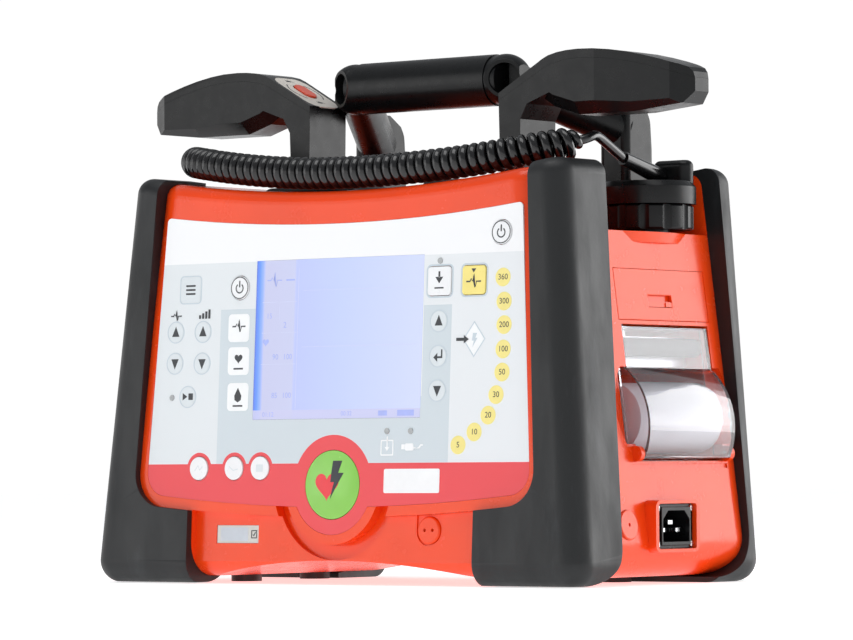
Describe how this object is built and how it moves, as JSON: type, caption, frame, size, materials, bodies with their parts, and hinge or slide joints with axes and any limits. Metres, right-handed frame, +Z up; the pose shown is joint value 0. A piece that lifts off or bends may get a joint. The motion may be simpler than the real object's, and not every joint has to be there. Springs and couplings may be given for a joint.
{
  "type": "defibrillator",
  "caption": "Portable manual defibrillator with monitor screen, shock and pacer keys, side printer, two parked paddles, curly cord, mains inlet and carry handle.",
  "frame": {"origin": "on the ground under the middle of the object's box, cord left out", "axes": "+Z up, -Y is the front with the screen, +X is the side with the printer and the mains inlet"},
  "size_m": [0.371, 0.1819, 0.2861],
  "materials": {
    "orange_shell": "glossy moulded ABS",
    "black_rubber": "matte bumper rubber",
    "satin_black": "satin moulded plastic, fine texture",
    "panel_film": "satin printed overlay",
    "screen_glass": "clear window over a lit lcd",
    "module_plastic": "moulded module",
    "circuit_board": "solder mask",
    "key_green": "glossy key cap",
    "key_white": "satin key cap",
    "key_yellow": "satin key cap",
    "lamp_lens": "clear lamp lens",
    "clear_plastic": "clear polycarbonate",
    "paper": "thermal paper",
    "roller_rubber": "platen rubber",
    "steel": "brushed stainless steel",
    "tray_metal": "folded sheet",
    "capacitor_film": "sleeved can",
    "battery_case": "moulded case",
    "gold_contact": "plated contact",
    "shock_orange": "satin button",
    "cord_black": "smooth cable jacket",
    "status_glass": "small lcd",
    "speaker_paper": "cone"
  },
  "bodies": {
    "case": {"front_housing": "orange_shell", "rear_housing": "orange_shell", "front_bumper_right": "black_rubber", "front_bumper_left": "black_rubber", "rear_bumper_right": "black_rubber", "rear_bumper_left": "black_rubber", "front_panel": "panel_film", "screen_window": "screen_glass", "screen_module": "module_plastic", "keypad_board": "circuit_board", "indicator_lamps": "lamp_lens", "status_display": "status_glass", "front_socket_cap": "orange_shell", "side_socket_cap": "orange_shell", "window_pivot_pins": "steel", "printer_cover": "orange_shell", "printer_mechanism": "tray_metal", "mains_inlet": "satin_black", "inlet_blades": "steel", "inlet_screws": "steel", "paddle_socket": "satin_black", "plug_housing": "satin_black", "cord_strain_relief": "cord_black", "cord_lead": "cord_black", "cord_coil": "cord_black", "handle_frame": "satin_black", "handle_grip": "satin_black", "hv_capacitor": "capacitor_film", "chassis_tray": "tray_metal", "power_supply": "module_plastic", "main_board": "circuit_board", "speaker": "speaker_paper", "rubber_feet": "black_rubber", "rear_screws": "steel", "test_contacts": "gold_contact"},
    "shock_key": {"shock_key": "key_green"},
    "power_key": {"power_key": "key_white"},
    "pacer_power_key": {"pacer_power_key": "key_white"},
    "soft_key_left": {"soft_key_left": "key_white"},
    "soft_key_middle": {"soft_key_middle": "key_white"},
    "soft_key_right": {"soft_key_right": "key_white"},
    "manual_key": {"manual_key": "key_white"},
    "sync_key": {"sync_key": "key_yellow"},
    "battery": {"battery_pack": "battery_case"},
    "printer_door": {"printer_window": "clear_plastic"},
    "door_latch": {"window_latch": "orange_shell"},
    "paper": {"paper_roll": "paper"},
    "platen": {"platen_roller": "roller_rubber"},
    "lock_ring": {"plug_ring": "satin_black"},
    "left_paddle": {"left_paddle_shell_upper": "satin_black", "left_paddle_shell_lower": "satin_black", "left_paddle_base": "satin_black", "left_paddle_electrode": "steel", "cord_tail": "cord_black"},
    "left_shock_button": {"left_paddle_shock_button": "shock_orange"},
    "right_paddle": {"right_paddle_shell_upper": "satin_black", "right_paddle_shell_lower": "satin_black", "right_paddle_base": "satin_black", "right_paddle_electrode": "steel"},
    "right_shock_button": {"right_paddle_shock_button": "shock_orange"}
  },
  "joints": [
    {"name": "shock_key_press", "type": "slide", "parent": "case", "child": "shock_key", "axis": [0, 0.9983, -0.0576], "range_m": [0, 0.001], "stiffness_N_per_m": 2000, "springref_m": -0.001},
    {"name": "power_key_press", "type": "slide", "parent": "case", "child": "power_key", "axis": [0, 0.9983, -0.0576], "range_m": [0, 0.0006], "stiffness_N_per_m": 2000, "springref_m": -0.0005},
    {"name": "pacer_power_key_press", "type": "slide", "parent": "case", "child": "pacer_power_key", "axis": [0, 0.9983, -0.0576], "range_m": [0, 0.0006], "stiffness_N_per_m": 2000, "springref_m": -0.0005},
    {"name": "soft_key_left_press", "type": "slide", "parent": "case", "child": "soft_key_left", "axis": [0, 0.9983, -0.0576], "range_m": [0, 0.0006], "stiffness_N_per_m": 2000, "springref_m": -0.0005},
    {"name": "soft_key_middle_press", "type": "slide", "parent": "case", "child": "soft_key_middle", "axis": [0, 0.9983, -0.0576], "range_m": [0, 0.0006], "stiffness_N_per_m": 2000, "springref_m": -0.0005},
    {"name": "soft_key_right_press", "type": "slide", "parent": "case", "child": "soft_key_right", "axis": [0, 0.9983, -0.0576], "range_m": [0, 0.0006], "stiffness_N_per_m": 2000, "springref_m": -0.0005},
    {"name": "manual_key_press", "type": "slide", "parent": "case", "child": "manual_key", "axis": [0, 0.9983, -0.0576], "range_m": [0, 0.0006], "stiffness_N_per_m": 2000, "springref_m": -0.0005},
    {"name": "sync_key_press", "type": "slide", "parent": "case", "child": "sync_key", "axis": [0, 0.9983, -0.0576], "range_m": [0, 0.0006], "stiffness_N_per_m": 2000, "springref_m": -0.0005},
    {"name": "battery_slide", "type": "slide", "parent": "case", "child": "battery", "axis": [0, 1, 0], "range_m": [0, 0.072]},
    {"name": "printer_door_hinge", "type": "hinge", "parent": "case", "child": "printer_door", "pos_m": [0.15712, 0.017, 0.06876], "axis": [0, 1, 0], "range_deg": [0, 64]},
    {"name": "latch_slide", "type": "slide", "parent": "case", "child": "door_latch", "axis": [-0.134, 0, 0.991], "range_m": [0, 0.0028], "stiffness_N_per_m": 429, "springref_m": -0.00187},
    {"name": "paper_spin", "type": "hinge", "parent": "case", "child": "paper", "pos_m": [0.13808, 0.017, 0.08718], "axis": [0, 1, 0], "continuous": true},
    {"name": "platen_spin", "type": "hinge", "parent": "case", "child": "platen", "pos_m": [0.139, 0.017, 0.12514], "axis": [0, 1, 0], "continuous": true},
    {"name": "lock_ring_turn", "type": "hinge", "parent": "case", "child": "lock_ring", "pos_m": [0.122, 0.0373, 0.195], "axis": [0, 0, 1], "range_deg": [0, 60]},
    {"name": "left_paddle_lift", "type": "slide", "parent": "case", "child": "left_paddle", "axis": [0, 0, 1], "range_m": [0, 0.026]},
    {"name": "left_shock_button_press", "type": "slide", "parent": "left_paddle", "child": "left_shock_button", "axis": [-0.5, 0, -0.866], "range_m": [0, 0.0015], "stiffness_N_per_m": 1000, "springref_m": -0.002},
    {"name": "right_paddle_lift", "type": "slide", "parent": "case", "child": "right_paddle", "axis": [0, 0, 1], "range_m": [0, 0.026]},
    {"name": "right_shock_button_press", "type": "slide", "parent": "right_paddle", "child": "right_shock_button", "axis": [0.5, 0, -0.866], "range_m": [0, 0.0015], "stiffness_N_per_m": 1000, "springref_m": -0.002}
  ],
  "couplings": [
    {"joint": "platen_spin", "follows": "paper_spin", "ratio": -3.8}
  ]
}
